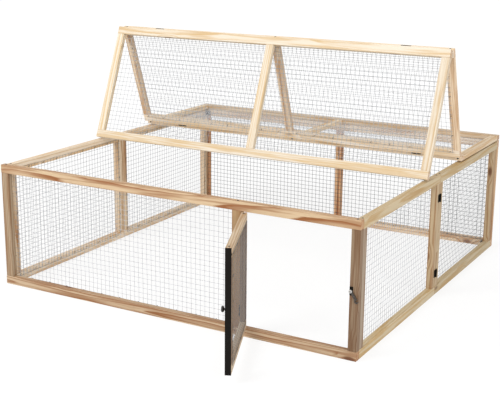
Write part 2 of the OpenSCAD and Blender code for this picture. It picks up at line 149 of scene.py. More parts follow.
SHUT = Matrix.Identity(4)
MIDDLE_LID = turned(VALLEY, -lid_lift(), "X")
FRONT_LID = MIDDLE_LID @ turned(RIDGE, LID_FOLD, "X")
DOOR = turned(DOOR_PIVOT, -DOOR_OPEN, "Z")
FORWARD = Matrix.Rotation(math.radians(90), 4, "X")  # brings Z to the front

# Each side frame: -1 left or 1 right, where it starts and where it stops.
SIDE_FRAMES = {
    f"{word}_{end}": (side, start + END_GAP, stop - END_GAP)
    for side, word in ((-1, "left"), (1, "right"))
    for end, start, stop in (("rear", MIDDLE, REAR_INNER), ("front", FRONT_INNER, MIDDLE))
}
# Each lid frame: where it starts and stops lying shut, and its place as drawn.
LID_FRAMES = {
    "lid_rear": (VALLEY.y + SEAT, REAR, SHUT),
    "lid_middle": (RIDGE.y + SEAT, VALLEY.y - SEAT, MIDDLE_LID),
    "lid_front": (LID_EDGE, RIDGE.y - SEAT, FRONT_LID),
}

# ---- colours, with painted light and shade

# Tint of each wooden piece, or of each of its boards, and how yellow its grain is. The colours
# hold the wood's own tone together with painted light and shade: pieces that stand in shade are
# painted darker, and pieces in shade that should look lit are painted lighter.
WOOD = {
    "front_top_rail": ((0.76, 0.71, 0.65), 0.1),
    "front_bottom_rail": ((0.72, 0.67, 0.63), 0.15),
    "front_left_stile": ((0.50, 0.46, 0.42), 0.2),
    "front_door_post": ((0.48, 0.36, 0.23), 0.6),
    # Painted shade: the right front stile is darker, as the light falls off towards that corner.
    "front_right_stile": ((0.31, 0.26, 0.22), 0.2),
    "rear_rails": ((1.0, 0.98, 0.97), 0.3),
    "rear_stiles": ([(0.92, 0.65, 0.48), (0.93, 0.72, 0.58), (0.84, 0.76, 0.66)], 0.0),
    # Painted light: the left walls' rails are lighter than the wood, for light on their inner
    # faces.
    "left_rear_rails": ((1.06, 1.04, 1.03), 0.6),
    "left_rear_stiles": ((0.94, 0.92, 0.90), 0.25),
    "left_front_rails": ((1.06, 1.04, 1.03), 0.6),
    "left_front_stiles": ((0.94, 0.92, 0.90), 0.25),
    # Painted shade: the right walls are darker, to take back the fill lamp's light on that side.
    "right_rear_rails": ((0.68, 0.64, 0.52), 0.7),
    "right_rear_stiles": ((0.63, 0.59, 0.51), 0.25),
    "right_front_rails": ((0.68, 0.64, 0.52), 0.7),
    "right_front_stiles": ([(0.44, 0.43, 0.45), (0.63, 0.59, 0.51)], 0.25),
    # Painted light: the lid frames are lighter, for their faces in the shade of the raised lid.
    "lid_rear_rails": ([(1.0, 1.0, 1.0), (0.86, 0.84, 0.83)], 0.6),
    "lid_rear_stiles": ((0.96, 0.94, 0.90), 0.6),
    "lid_middle_rails": ((1.05, 1.04, 1.04), 0.85),
    "lid_middle_stiles": ((1.0, 0.98, 0.97), 0.3),
    "lid_front_rails": ((0.90, 0.92, 0.93), 0.75),
    "lid_front_stiles": ((0.90, 0.92, 0.93), 0.75),
    "door_rails": ((0.70, 0.67, 0.63), 0.45),
    # Painted shade: the door's stiles are dark, for their inner faces that lie in shade.
    "door_stiles": ((0.32, 0.27, 0.23), 0.2),
}
# Painted light on each net's wires: one zinc, painted brighter where a net is lit from above,
# as on the rear lid, and darker where it is lit from behind, as on the rear wall. The rear
# net's wires are also thicker.
WIRE_PAINTED_LIGHT = {
    "front_net": 1.6, "rear_net": 0.25, "door_net": 0.5, "left_rear_net": 0.8,
    "left_front_net": 0.9, "right_rear_net": 0.65, "right_front_net": 1.6, "lid_rear_net": 3.2,
    "lid_middle_net": 1.25, "lid_front_net": 1.25,
}
THICKER = {"rear_net": 1.2}

# ---- what a user would change


def metres(name, description, default, low, high):
    """A setting that is a length."""
    return bpy.props.FloatProperty(
        name=name, description=description, default=default, min=low, max=high, unit="LENGTH"
    )


def paint(name, description, default):
    """A setting that is a colour."""
    return bpy.props.FloatVectorProperty(
        name=name, description=description, default=default, min=0, max=1, subtype="COLOR"
    )


class TimberSettings(bpy.types.PropertyGroup):
    """Sizes and colours of the planed softwood."""

    arris: metres("Arris", "Width of the eased edges", 0.0012, 0.0003, 0.004)
    ring: metres("Ring spacing", "Distance between growth rings", 0.0068, 0.001, 0.02)
    pale: paint("Pale wood", "Colour of the early wood", (0.90, 0.73, 0.50))
    dark: paint("Dark grain", "Colour of the late wood", (0.36, 0.135, 0.035))
    honey: paint("Honey grain", "Colour of the late wood in the yellow boards", (0.84, 0.60, 0.26))
    knot: paint("Knots", "Colour of the knots", (0.20, 0.075, 0.025))


class NettingSettings(bpy.types.PropertyGroup):
    """Sizes and colour of the welded wire."""

    pitch: metres("Mesh", "Distance between wires", 0.019, 0.008, 0.05)
    wire: metres("Wire", "Diameter of the wire", 0.0012, 0.0005, 0.002)
    wave: metres("Waviness", "How far the wires stray sideways", 0.0024, 0, 0.006)
    colour: paint("Wire colour", "Colour of the dull zinc", (0.255, 0.26, 0.272))
    staple_gap: metres("Staple spacing", "Distance between staples", 0.085, 0.03, 0.3)


class FittingSettings(bpy.types.PropertyGroup):
    """Sizes and colours of the screws, the black metal and the hook's pivot."""

    head: metres("Screw head", "Radius of the frame screws' heads", 0.004, 0.002, 0.006)
    leaf_head: metres("Leaf screw head", "Radius of the hinge screws' heads", 0.0022, 0.001, 0.004)
    black: paint("Black metal", "Colour of the hinges and plates", (0.004, 0.003, 0.002))
    zinc: paint("Zinc", "Colour of the hook's pivot", (0.52, 0.51, 0.49))


class StageSettings(bpy.types.PropertyGroup):
    """Light and background."""

    key: bpy.props.FloatProperty(
        name="Key light", description="Power of the large lamp", default=190, min=0, unit="POWER"
    )
    fill: bpy.props.FloatProperty(
        name="Fill light", description="Power of the lamp on the other side", default=80, min=0,
        unit="POWER",
    )
    sky: bpy.props.FloatProperty(
        name="Surrounding light", description="Strength of the even light", default=0.60, min=0
    )


# ---- node layouts


class Nodes:
    """Short ways to lay out nodes; a node given as a value stands for its first output."""

    def __init__(self, tree):
        self.tree = tree

    def put(self, value, socket):
        """Gives an input a plain value or what comes out of a node; None leaves it alone."""
        if isinstance(value, bpy.types.Node):
            value = value.outputs[0]
        if isinstance(value, bpy.types.NodeSocket):
            self.tree.links.new(value, socket)
        elif value is not None:
            socket.default_value = (*value, 1.0) if socket.type == "RGBA" else value

    def node(self, kind, *values, **named):
        """Adds a node. Names in small letters are its settings and come first, other names
        are its inputs, and values without a name fill the inputs in order."""
        made = self.tree.nodes.new(kind)
        for name, value in named.items():
            if name.islower():
                setattr(made, name, value)
            else:
                self.put(value, made.inputs[name.replace("_", " ")])
        for value, socket in zip(values, made.inputs):
            self.put(value, socket)
        return made

    def maths(self, operation, a, b=None, c=None, clamp=False):
        return self.node("ShaderNodeMath", a, b, c, operation=operation, use_clamp=clamp)

    def scaled(self, vector, scale):
        return self.node("ShaderNodeVectorMath", vector, scale, operation="MULTIPLY")


class Finish(Nodes):
    """Lays out the nodes of a new material."""

    def __init__(self, name):
        self.material = bpy.data.materials.new(name)
        self.material.use_nodes = True
        super().__init__(self.material.node_tree)
        self.shader = self.tree.nodes["Principled BSDF"]

    def place(self):
        return self.node("ShaderNodeTexCoord").outputs["Object"]

    def attribute(self, name, output):
        """What the piece's mesh holds under this name."""
        return self.node("ShaderNodeAttribute", attribute_name=name).outputs[output]

    def noise(self, vector, scale, detail=2.0, rough=0.5):
        return self.node(
            "ShaderNodeTexNoise", Vector=vector, Scale=scale, Detail=detail, Roughness=rough
        )

    def ramp(self, value, *stops):
        """A grey ramp through (position, level) pairs."""
        made = self.node("ShaderNodeValToRGB", value)
        bar = made.color_ramp
        while len(bar.elements) < len(stops):
            bar.elements.new(0.5)
        for element, (place, level) in zip(bar.elements, stops):
            element.position = place
            element.color = (level, level, level, 1)
        return made

    def mix(self, share, a, b, blend="MIX"):
        """A colour mixed of two, with this share of the second."""
        made = self.node("ShaderNodeMix", share, data_type="RGBA", blend_type=blend)
        self.put(a, made.inputs[6])
        self.put(b, made.inputs[7])
        return made.outputs[2]

    def bump(self, height, strength, distance):
        made = self.node("ShaderNodeBump", Strength=strength, Distance=distance, Height=height)
        self.put(made, self.shader.inputs["Normal"])

    def grained(self, scale, strength, distance):
        """A fine even grain in the surface."""
        self.bump(self.noise(self.place(), scale), strength, distance)

    def done(self, colour, rough, metal=None):
        for value, name in ((colour, "Base Color"), (rough, "Roughness"), (metal, "Metallic")):
            self.put(value, self.shader.inputs[name])
        return self.material


class Growth(Nodes):
    """Lays out a new geometry tree with named inputs, a material among them."""

    def __init__(self, name, **inputs):
        super().__init__(bpy.data.node_groups.new(name, "GeometryNodeTree"))
        sockets = self.tree.interface
        for title, kind in {"Geometry": "Geometry", **inputs, "Material": "Material"}.items():
            sockets.new_socket(name=title, in_out="INPUT", socket_type="NodeSocket" + kind)
        sockets.new_socket(name="Geometry", in_out="OUTPUT", socket_type="NodeSocketGeometry")
        self.given = self.tree.nodes.new("NodeGroupInput").outputs

    def vector(self, x=0.0, y=0.0, z=0.0):
        return self.node("ShaderNodeCombineXYZ", x, y, z)

    def chance(self, low, high):
        """A number between low and high for each copy, from the input Seed."""
        made = self.node("FunctionNodeRandomValue", data_type="FLOAT", Seed=self.given["Seed"])
        numbers = [socket for socket in made.inputs if socket.type == "VALUE"]
        numbers[0].default_value, numbers[1].default_value = low, high
        return next(socket for socket in made.outputs if socket.type == "VALUE")

    def copies(self, points, rotation, scale=None):
        """Copies of the object in the input Pattern on points."""
        model = self.node("GeometryNodeObjectInfo", Object=self.given["Pattern"])
        return self.node(
            "GeometryNodeInstanceOnPoints", Points=points, Instance=model.outputs["Geometry"],
            Rotation=rotation, Scale=scale,
        )

    def close(self, geometry):
        """Ends the tree in real geometry with its material."""
        real = self.node("GeometryNodeRealizeInstances", geometry)
        painted = self.node(
            "GeometryNodeSetMaterial", Geometry=real, Material=self.given["Material"]
        )
        self.node("NodeGroupOutput", painted)
        return self.tree


# ---- materials


@cache
def timber():
    """Planed pine: rings about a pith beside the board, streaks, fibres, knots, end grain.
    The attribute grain holds a place in the board, along it first; tint holds the board's own
    tone together with painted light and shade, and gold how yellow its grain is."""
    look = bpy.context.scene.run_timber
    n = Finish("planed_pine")
    grain = n.attribute("grain", "Vector")
    tint = n.attribute("tint", "Color")
    gold = n.attribute("gold", "Fac")
    end = n.attribute("end_grain", "Fac")

    # A few cells of the board hold a knot: near is the wood bent round it, core its heart.
    cells = n.node("ShaderNodeTexVoronoi", Vector=n.scaled(grain, (6.0, 15.0, 15.0)), Scale=1.0)
    rare = n.node("ShaderNodeSeparateColor", Color=cells.outputs["Color"])
    kept = n.maths("GREATER_THAN", rare, 0.72)
    far = cells.outputs["Distance"]
    near = n.maths("MULTIPLY", n.ramp(far, (0.0, 1.0), (0.38, 0.0)), kept)
    core = n.maths("MULTIPLY", n.ramp(far, (0.0, 1.0), (0.09, 0.85), (0.16, 0.0)), kept)

    # Growth rings: the distance from the pith, which wanders, flutters and bends at knots.
    wander = n.maths("SUBTRACT", n.noise(n.scaled(grain, (0.8, 4.0, 4.0)), 1.0, 1.0), 0.5)
    flutter = n.maths("SUBTRACT", n.noise(n.scaled(grain, (12.0, 70.0, 70.0)), 1.0), 0.5)
    split = n.node("ShaderNodeSeparateXYZ", Vector=grain)
    across = n.maths("POWER", split.outputs[1], 2.0)
    deep = n.maths("POWER", split.outputs[2], 2.0)
    radius = n.maths("SQRT", n.maths("ADD", across, deep))
    radius = n.maths("MULTIPLY_ADD", wander, 0.045, radius)
    radius = n.maths("MULTIPLY_ADD", flutter, 0.0018, radius)
    radius = n.maths("MULTIPLY_ADD", near, 0.012, radius)
    turn = n.maths("FRACT", n.maths("DIVIDE", radius, look.ring))
    late = n.ramp(turn, (0.0, 0.06), (0.45, 0.10), (0.76, 0.60), (0.90, 1.0), (1.0, 0.06))

    # Fibres, clouds that make the rings stronger or weaker, and dark streaks.
    fibre = n.noise(n.scaled(grain, (9.0, 900.0, 900.0)), 1.0, 3.0, 0.6)
    cloud = n.noise(n.scaled(grain, (2.4, 26.0, 26.0)), 1.0)
    patch = n.noise(n.scaled(grain, (4.0, 75.0, 75.0)), 1.0, 3.0)
    streak = n.ramp(patch, (0.49, 0.0), (0.62, 1.0))

    line = n.mix(n.maths("MULTIPLY", gold, 0.9), look.dark, look.honey)
    strength = n.maths("MULTIPLY", n.maths("MULTIPLY_ADD", cloud, 2.8, -0.35), late, clamp=True)
    strength = n.maths("MULTIPLY", strength, n.maths("MULTIPLY_ADD", gold, -0.35, 1.0))
    colour = n.mix(strength, n.mix(gold, look.pale, (0.90, 0.82, 0.70)), line)
    colour = n.mix(n.maths("MULTIPLY", streak, 0.62), colour, line)
    thread = n.ramp(fibre, (0.35, 1.0), (0.65, 0.0))
    colour = n.mix(n.maths("MULTIPLY", thread, 0.14), colour, look.dark)
    colour = n.mix(n.maths("MULTIPLY", near, 0.40), colour, line)
    colour = n.mix(core, colour, look.knot)
    # Painted light and shade: the colour is multiplied by the board's own tone and painted light.
    colour = n.mix(1.0, colour, tint, "MULTIPLY")
    colour = n.mix(n.maths("MULTIPLY", end, 0.40), colour, look.dark)
    relief = n.maths("MULTIPLY_ADD", fibre, 0.5, n.maths("MULTIPLY", late, -0.6))
    n.bump(relief, 0.30, 0.0004)
    return n.done(colour, n.maths("MULTIPLY_ADD", late, -0.10, 0.66))


@cache
def zinc_wire(painted_light):
    """Galvanised wire with a slightly blotched coat, darker or lighter by each net's painted
    light.
    """
    n = Finish("zinc_wire")
    blotch = n.noise(n.place(), 60.0, 3.0)
    # Painted light: the zinc's colour is scaled by how its net is lit.
    tone = [painted_light * c for c in bpy.context.scene.run_netting.colour]
    light = [min(0.85, 1.5 * c) for c in tone]
    n.grained(1500.0, 0.3, 0.0002)
    return n.done(
        n.mix(n.ramp(blotch, (0.35, 0.0), (0.7, 1.0)), tone, light),
        n.ramp(blotch, (0.3, 0.42), (0.7, 0.62)),
        0.25,
    )


@cache
def black_metal():
    """Black lacquer over steel, rubbed a little on its high places and faintly dusty."""
    n = Finish("black_lacquer")
    rubbed = n.ramp(n.noise(n.place(), 220.0, 4.0), (0.60, 0.0), (0.74, 1.0))
    dust = n.noise(n.place(), 45.0, 3.0)
    colour = n.mix(
        n.maths("MULTIPLY", rubbed, 0.2), bpy.context.scene.run_fittings.black,
        (0.04, 0.036, 0.032),
    )
    colour = n.mix(n.maths("MULTIPLY", dust, 0.06), colour, (0.06, 0.045, 0.03))
    n.grained(900.0, 0.15, 0.0002)
    n.shader.inputs["Specular IOR Level"].default_value = 0.12
    return n.done(colour, n.ramp(dust, (0.3, 0.48), (0.7, 0.66)))


@cache
def black_plastic():
    """Moulded black plastic with a fine grain."""
    n = Finish("moulded_black")
    haze = n.noise(n.place(), 70.0)
    n.grained(1400.0, 0.25, 0.0002)
    return n.done(
        n.mix(haze, (0.010, 0.009, 0.009), (0.026, 0.024, 0.023)),
        n.ramp(haze, (0.3, 0.36), (0.7, 0.50)),
    )


@cache
def bright_zinc():
    """Zinc plate with the faint cloudiness of its bath."""
    zinc = bpy.context.scene.run_fittings.zinc
    n = Finish("zinc_plate")
    cloud = n.noise(n.place(), 160.0, 4.0)
    n.grained(1800.0, 0.2, 0.0001)
    return n.done(
        n.mix(n.ramp(cloud, (0.35, 0.0), (0.65, 1.0)), [0.62 * c for c in zinc], zinc),
        n.ramp(cloud, (0.3, 0.24), (0.7, 0.42)),
        0.9,
    )


@cache
def dull_steel():
    """Dark, dull steel for screws, staples and the hook, on which it is partly painted shadow."""
    n = Finish("dull_steel")
    cloud = n.noise(n.place(), 240.0, 4.0)
    n.grained(1600.0, 0.2, 0.0001)
    return n.done(
        n.mix(n.ramp(cloud, (0.35, 0.0), (0.65, 1.0)), (0.05, 0.044, 0.04), (0.12, 0.105, 0.09)),
        n.ramp(cloud, (0.3, 0.38), (0.7, 0.58)),
        0.7,
    )


# ---- helpers for pieces


def piece(name, mesh, material, body, replaces=()):
    """Puts a finished mesh in the scene, on its body and in place of its nodes. A material of
    None leaves the mesh the one that it has."""
    mesh.name = name
    if material is not None:
        mesh.materials.clear()
        mesh.materials.append(material)
    made = bpy.data.objects.new(name, mesh)
    bpy.context.scene.collection.objects.link(made)
    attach(made, body)
    if replaces:
        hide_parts(*replaces)


def repaint(node, material):
    """Gives a node of the frame a better material."""
    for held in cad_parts[node].material_slots:
        held.material = material


def as_mesh(bm, name):
    """Turns what was built into a mesh."""
    mesh = bpy.data.meshes.new(name)
    bm.to_mesh(mesh)
    bm.free()
    return mesh


def skin(bm, rings):
    """Joins each ring of points to the next by a band of faces."""
    for ring, other in zip(rings, rings[1:]):
        for i in range(len(ring)):
            bm.faces.new((ring[i - 1], ring[i], other[i], other[i - 1]))


def circle(bm, radius, z, sides):
    """A level ring of points about the Z axis."""
    turns = (2 * math.pi * i / sides for i in range(sides))
    return [bm.verts.new((radius * math.cos(a), radius * math.sin(a), z)) for a in turns]


def eased_box(bm, low, high, ease):
    """Adds a box with eased edges and gives its faces."""
    low, high = Vector(low), Vector(high)
    before = set(bm.faces)
    corners = bmesh.ops.create_cube(bm, size=1.0)["verts"]
    for corner in corners:
        corner.co = Vector(c * s for c, s in zip(corner.co, high - low)) + (low + high) / 2
    edges = list(dict.fromkeys(edge for corner in corners for edge in corner.link_edges))
    bmesh.ops.bevel(bm, geom=edges, offset=ease, segments=2, profile=0.5, affect="EDGES")
    return [face for face in bm.faces if face not in before]


# ---- timber


def board(bm, low, high, chance, tint, gold, layers):
    """Adds one board with its own grain, which runs along its longest side."""
    size = Vector(high) - Vector(low)
    middle = (Vector(low) + Vector(high)) / 2
    along, wide, thick = sorted(range(3), key=lambda i: -size[i])
    start = chance.uniform(0, 40)
    flip = chance.choice((-1, 1))
    pith = (chance.uniform(-0.02, 0.02), chance.choice((-1, 1)) * chance.uniform(0.014, 0.055))
    grain, end_grain, shade, yellow = layers
    for face in eased_box(bm, low, high, bpy.context.scene.run_timber.arris):
        face.smooth = False
        cut = abs(face.normal[along]) > 0.7
        for loop in face.loops:
            at = loop.vert.co - middle
            loop[grain] = Vector(
                (flip * at[along] + start, at[wide] - pith[0], at[thick] - pith[1])
            )
            loop[end_grain] = 1.0 if cut else 0.0
            loop[shade] = tint
            loop[yellow] = gold


def boards(node, body, parts, place=SHUT):
    """One wooden piece of boards between pairs of corners, in place of a node."""
    chance = random.Random(node)
    tints_and_light, gold = WOOD[node]
    if not isinstance(tints_and_light, list):
        tints_and_light = [tints_and_light] * len(parts)
    bm = bmesh.new()
    held = bm.loops.layers
    layers = (
        held.float_vector.new("grain"), held.float.new("end_grain"),
        held.float_vector.new("tint"), held.float.new("gold"),
    )
    for (low, high), tint in zip(parts, tints_and_light):
        shade = Vector(tint) * (1 + chance.uniform(-0.06, 0.06))
        yellow = min(1.0, max(0.0, gold + chance.uniform(-0.12, 0.12)))
        board(bm, low, high, chance, shade, yellow, layers)
    bmesh.ops.transform(bm, matrix=place, verts=bm.verts)
    piece(node + "_pine", as_mesh(bm, node), timber(), body, (node,))


def side_parts(side, start, stop):
    """Rails and stiles of a side frame; side is -1 left or 1 right."""

    def part(setback, y0, y1, z0, z1):
        x0, x1 = sorted((side * (HALF - BOARD), side * (HALF - setback)))
        return (x0, y0, z0), (x1, y1, z1)

    top = SIDE_TOP - MEMBER
    rails = [part(0, start, stop, z, z + MEMBER) for z in (0, top)]
    stiles = [part(SETBACK, y, y + MEMBER, MEMBER, top) for y in (start, stop - MEMBER)]
    return rails, stiles


def lid_parts(start, stop):
    """Rails and stiles of a lid frame, lying shut."""
    rails = [
        ((-HALF, y, LID_UNDER), (HALF, y + MEMBER, LID_TOP)) for y in (start, stop - MEMBER)
    ]
    stiles = [
        ((x, start + MEMBER, LID_UNDER), (x + MEMBER, stop - MEMBER, LID_TOP - LID_SETBACK))
        for x in STILES
    ]
    return rails, stiles


# ---- geometry trees


def grown(tree, source=None, **inputs):
    """Runs a geometry tree with these inputs and gives its result as a plain mesh."""
    holder = bpy.data.objects.new("holder", source or bpy.data.meshes.new("start"))
    bpy.context.scene.collection.objects.link(holder)
    growth = holder.modifiers.new("growth", "NODES")
    growth.node_group = tree
    for item in tree.interface.items_tree:
        if item.in_out == "INPUT" and item.name in inputs:
            growth[item.identifier] = inputs[item.name]
    bpy.context.view_layer.update()
    graph = bpy.context.evaluated_depsgraph_get()
    mesh = bpy.data.meshes.new_from_object(holder.evaluated_get(graph))
    holder.modifiers.clear()
    bpy.data.objects.remove(holder)
    if not mesh.polygons:
        raise RuntimeError(f"{tree.name} made nothing")
    return mesh


@cache
def wire_net():
    """A rectangle of welded wire in the XY plane: upright wires below, level ones above."""
    t = Growth(
        "welded_wire", Width="Float", Height="Float", Mesh="Float", Wire="Float",
        Waviness="Float", Seed="Float",
    )
    g = t.given
    radius = t.maths("DIVIDE", g["Wire"], 2.0)
    both = t.node("GeometryNodeJoinGeometry")
    for level in (False, True):
        run, rise = (g["Height"], g["Width"]) if level else (g["Width"], g["Height"])
        count = t.maths("ADD", t.maths("FLOOR", t.maths("DIVIDE", run, g["Mesh"])), 1.0)
        used = t.maths("MULTIPLY", t.maths("SUBTRACT", count, 1.0), g["Mesh"])
        first = t.maths("DIVIDE", t.maths("SUBTRACT", run, used), 2.0)
        start, step, tip = (first, 0.0), (g["Mesh"], 0.0), (0.0, rise)
        if level:
            start, step, tip = start[::-1], step[::-1], tip[::-1]
        lift = t.maths("MULTIPLY", radius, 2.5 if level else 1.0)
        line = t.node(
            "GeometryNodeMeshLine", mode="OFFSET", Count=count,
            Start_Location=t.vector(*start, lift), Offset=t.vector(*step),
        )
        bends = t.maths("ADD", t.maths("CEIL", t.maths("DIVIDE", rise, 0.055)), 1.0)
        wire = t.node("GeometryNodeCurvePrimitiveLine", End=t.vector(*tip))
        fine = t.node("GeometryNodeResampleCurve", Curve=wire, Count=bends)
        wires = t.node("GeometryNodeInstanceOnPoints", Points=line, Instance=fine)
        t.put(t.node("GeometryNodeRealizeInstances", wires), both.inputs[0])
    flat = t.scaled(t.node("GeometryNodeInputPosition"), (1.0, 1.0, 0.0))
    noise = t.node(
        "ShaderNodeTexNoise", noise_dimensions="4D", Vector=flat, W=g["Seed"], Scale=9.0,
        Detail=1.0,
    )
    stray = t.node(
        "ShaderNodeVectorMath", noise.outputs["Color"], (0.5, 0.5, 0.5), operation="SUBTRACT"
    )
    slight = t.maths("MULTIPLY", g["Waviness"], 0.25)
    stray = t.scaled(stray, t.vector(g["Waviness"], g["Waviness"], slight))
    wavy = t.node("GeometryNodeSetPosition", Geometry=both, Offset=stray)
    ring = t.node("GeometryNodeCurvePrimitiveCircle", Resolution=5, Radius=radius)
    return t.close(
        t.node("GeometryNodeCurveToMesh", Curve=wavy, Profile_Curve=ring, Fill_Caps=True)
    )


@cache
def staple_row():
    """Copies of a staple round a rectangle, each turned a little by chance."""
    t = Growth(
        "staple_row", Pattern="Object", Width="Float", Height="Float", Inset="Float",
        Spacing="Float", Lift="Float", Seed="Int",
    )
    g = t.given
    twice = t.maths("MULTIPLY", g["Inset"], 2.0)
    path = t.node(
        "GeometryNodeCurvePrimitiveQuadrilateral",
        Width=t.maths("SUBTRACT", g["Width"], twice),
        Height=t.maths("SUBTRACT", g["Height"], twice),
    )
    halves = [t.maths("DIVIDE", g[side], 2.0) for side in ("Width", "Height")]
    path = t.node("GeometryNodeTransform", Geometry=path, Translation=t.vector(*halves, g["Lift"]))
    dots = t.node("GeometryNodeResampleCurve", mode="LENGTH", Curve=path, Length=g["Spacing"])
    return t.close(t.copies(dots, t.vector(z=t.chance(0.35, 1.15))))


@cache
def fixings():
    """Copies of a screw head on points, each standing along the direction that its point
    holds as out, and turned about it by up to a quarter."""
    t = Growth("screw_heads", Pattern="Object", Size="Float", Seed="Int")
    g = t.given
    out = t.node("GeometryNodeInputNamedAttribute", data_type="FLOAT_VECTOR", Name="out")
    stand = t.node(
        "FunctionNodeAlignRotationToVector", axis="Z", Vector=out.outputs["Attribute"]
    )
    spin = t.node("FunctionNodeEulerToRotation", Euler=t.vector(z=t.chance(0.0, 1.57)))
    whole = t.node(
        "FunctionNodeRotateRotation", rotation_space="LOCAL", Rotation=stand, Rotate_By=spin
    )
    size = t.vector(g["Size"], g["Size"], g["Size"])
    return t.close(t.copies(g["Geometry"], whole, size))


# ---- screws, staples and turnings


def pattern(name, build):
    """A mesh that only geometry trees copy; it is kept out of the scene."""
    bm = bmesh.new()
    build(bm)
    bmesh.ops.recalc_face_normals(bm, faces=bm.faces)
    return bpy.data.objects.new(name, as_mesh(bm, name))


def screw_head(bm):
    """A head of radius 1 and height 0.24 with a cross cut into it."""
    arm, wide, top, low = 0.52, 0.13, 0.24, 0.02
    rings = [circle(bm, r, z, 16) for r, z in ((1.0, 0.0), (0.97, 0.16), (0.80, top))]
    skin(bm, rings)
    bm.faces.new(rings[0])
    corner, cross = [(arm, -wide), (arm, wide), (wide, wide)], []
    for _ in range(4):
        cross += corner
        corner = [(-y, x) for x, y in corner]
    mouth = [bm.verts.new((x, y, top)) for x, y in cross]
    floor = [bm.verts.new((0.8 * x, 0.8 * y, low)) for x, y in cross]
    skin(bm, [mouth, floor])
    bm.faces.new(floor)
    brink = [
        bm.edges.get((ring[i - 1], ring[i])) for ring in (mouth, rings[-1])
        for i in range(len(ring))
    ]
    bmesh.ops.triangle_fill(bm, edges=brink, use_beauty=True)


def staple(bm):
    """A staple of flat wire, 9 mm across, whose legs go into the wood below Z = 0."""
    half, wide, thick, leg, crown = 0.0045, 0.0006, 0.0006, 0.004, 0.0009
    outer = [(half, -leg), (half, 0.0004), (half - 0.0005, crown)]
    inner = [(half - thick, -leg), (half - thick, 0.0002), (half - 0.0009, crown - thick)]
    outer, inner = ([(-x, z) for x, z in line] + line[::-1] for line in (outer, inner))
    rings = [
        [
            bm.verts.new((x, y, z))
            for (x, z), y in ((out, -wide), (into, -wide), (into, wide), (out, wide))
        ]
        for out, into in zip(outer, inner)
    ]
    skin(bm, rings)
    bm.faces.new(rings[0])
    bm.faces.new(rings[-1])


def heads(name, body, row, size, seed, material, replaces=()):
    """Screw heads at (point, direction) pairs, as one piece."""
    points = bpy.data.meshes.new("points")
    points.from_pydata([tuple(at) for at, _ in row], [], [])
    out = points.attributes.new("out", "FLOAT_VECTOR", "POINT")
    out.data.foreach_set("vector", [c for _, way in row for c in way])
    model = pattern("screw_model", screw_head)
    mesh = grown(fixings(), points, Pattern=model, Size=size, Seed=seed, Material=material)
    bpy.data.objects.remove(model)
    piece(name, mesh, None, body, replaces)


def leaf_screws(pin, along, out, seat, apart):
    """Points and directions of a leaf's two screws. along is the way from the pin over the
    leaf, out the way from the wood, and seat the height of the pin over the wood."""
    along, out = Vector(along), Vector(out)
    middle = Vector(pin) + along * LEAF_REACH + out * (LEAF - seat)
    across = along.cross(out) * apart
    return [(middle - across, out), (middle + across, out)]


def turning(name, profile, place, material, body, replaces, sides):
    """A turned piece: profile of (radius, height) pairs about the Z axis, then placed."""
    bm = bmesh.new()
    rings = [circle(bm, radius, height, sides) for radius, height in profile]
    skin(bm, rings)
    for face in bm.faces:
        face.smooth = True
    bm.faces.new(rings[0])
    bm.faces.new(rings[-1])
    bmesh.ops.transform(bm, matrix=place, verts=bm.verts)
    bmesh.ops.recalc_face_normals(bm, faces=bm.faces)
    piece(name, as_mesh(bm, name), material, body, replaces)


def lacquered_bar(name, low, high, place, body, replaces):
    """A flat black bar with eased edges."""
    bm = bmesh.new()
    eased_box(bm, low, high, METAL_EASE)
    bmesh.ops.transform(bm, matrix=place, verts=bm.verts)
    piece(name, as_mesh(bm, name), black_metal(), body, replaces)


# ---- places of the nets


def facing(corner, right, out):
    """Brings the XY plane to a net: right is the way across it, out the way from its wood,
    and corner its low left corner as seen from out."""
    right, out = Vector(right), Vector(out)
    turn = Matrix((right, out.cross(right), out)).transposed()
    return Matrix.Translation(corner) @ turn.to_4x4()


def net_places():
    """Every net: its body, its place, its width and its height."""
    lap = MEMBER - NET_LAP
    low = MEMBER - NET_RAIL_LAP
    reach = HALF - MEMBER + NET_CORNER_LAP
    post = POST_LEFT + NET_LAP
    places = {
        "front_net": (
            "front_wall", facing((post, FRONT_INNER, low), (-1, 0, 0), (0, 1, 0)),
            post + reach, HEIGHT - 2 * low,
        ),
        "rear_net": (
            "rear_wall", facing((-reach, REAR_INNER, low), (1, 0, 0), (0, -1, 0)),
            2 * reach, HEIGHT - 2 * low,
        ),
        "door_net": (
            "door",
            DOOR @ facing((DOOR_RIGHT - lap, DOOR_BACK, DOOR_LOW + lap), (-1, 0, 0), (0, 1, 0)),
            DOOR_RIGHT - DOOR_LEFT - 2 * lap, DOOR_HIGH - DOOR_LOW - 2 * lap,
        ),
    }
    for name, (side, start, stop) in SIDE_FRAMES.items():
        corner = (side * (HALF - BOARD), stop - lap if side > 0 else start + lap, lap)
        places[name + "_net"] = (
            name + "_side", facing(corner, (0, -side, 0), (-side, 0, 0)),
            stop - start - 2 * lap, SIDE_TOP - 2 * lap,
        )
    for name, (start, stop, place) in LID_FRAMES.items():
        corner = (HALF - lap, start + lap, LID_UNDER)
        places[name + "_net"] = (
            name, place @ facing(corner, (-1, 0, 0), (0, 0, -1)),
            WIDTH - 2 * lap, stop - start - 2 * lap,
        )
    return places


# ---- operators


